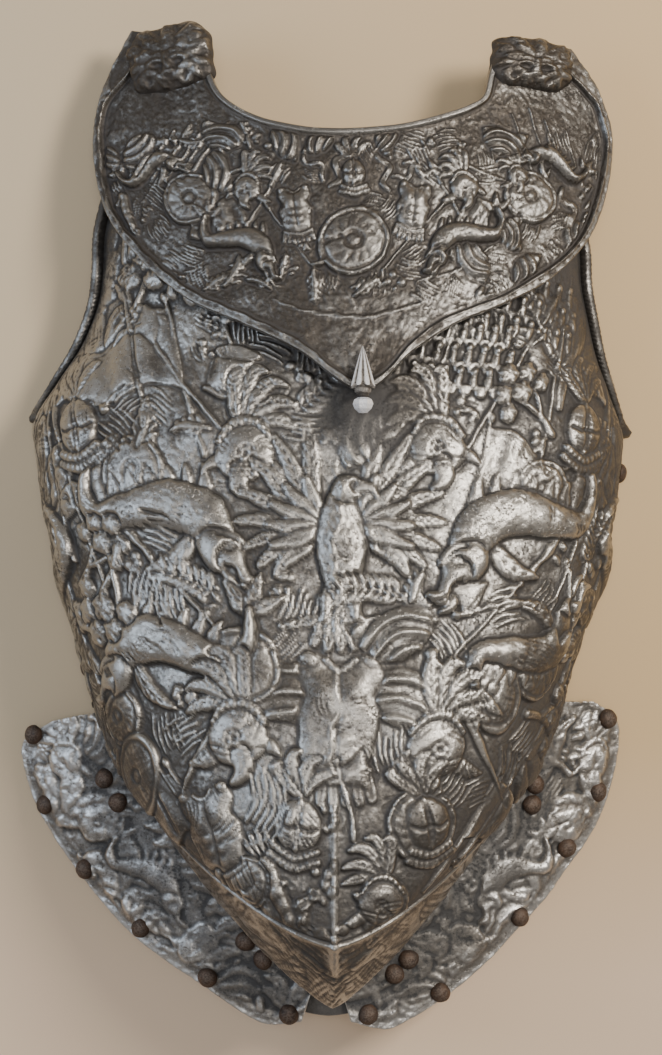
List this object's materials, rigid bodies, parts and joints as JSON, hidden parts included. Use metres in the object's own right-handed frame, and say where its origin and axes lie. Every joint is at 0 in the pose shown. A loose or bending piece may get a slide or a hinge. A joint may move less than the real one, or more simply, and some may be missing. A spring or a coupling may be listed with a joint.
{
  "type": "cuirass front (breastplate with gorget plate and faulds)",
  "caption": "Cast aluminium cuirass front in peascod form, with an embossed gorget plate, lion masks on the shoulders and two riveted fauld plates.",
  "frame": {"origin": "middle of the bounding box, on the plane that the flank hems rest on", "axes": "+Z out of the breast, +Y towards the neck, +X to the viewer's right"},
  "size_m": [0.396, 0.6324, 0.1657],
  "materials": {
    "cast_silver": "cast aluminium, antiqued: polished high spots over blackened recesses",
    "cast_dark": "cast aluminium with a heavier dark patina and worn bright edges",
    "worn_steel": "bright worn steel with dark grooves",
    "rusty_steel": "domed steel rivet heads with brown rust"
  },
  "bodies": {
    "root": {"breastplate": "cast_silver", "fauld_left": "cast_dark", "fauld_right": "cast_dark", "gorget": "cast_dark", "gorget_stud": "worn_steel", "rivet_fauld_left_edge_1": "rusty_steel", "rivet_fauld_left_edge_2": "rusty_steel", "rivet_fauld_left_edge_3": "rusty_steel", "rivet_fauld_left_edge_4": "rusty_steel", "rivet_fauld_left_edge_5": "rusty_steel", "rivet_fauld_left_edge_6": "rusty_steel", "rivet_fauld_left_inner_1": "rusty_steel", "rivet_fauld_left_inner_2": "rusty_steel", "rivet_fauld_left_inner_3": "rusty_steel", "rivet_fauld_left_inner_4": "rusty_steel", "rivet_fauld_right_edge_1": "rusty_steel", "rivet_fauld_right_edge_2": "rusty_steel", "rivet_fauld_right_edge_3": "rusty_steel", "rivet_fauld_right_edge_4": "rusty_steel", "rivet_fauld_right_edge_5": "rusty_steel", "rivet_fauld_right_edge_6": "rusty_steel", "rivet_fauld_right_inner_1": "rusty_steel", "rivet_fauld_right_inner_2": "rusty_steel", "rivet_fauld_right_inner_3": "rusty_steel", "rivet_fauld_right_inner_4": "rusty_steel", "rivet_flank_left_1": "rusty_steel", "rivet_flank_left_2": "rusty_steel", "rivet_flank_right_1": "rusty_steel", "rivet_flank_right_2": "rusty_steel", "rivet_flank_right_3": "rusty_steel"}
  },
  "joints": []
}
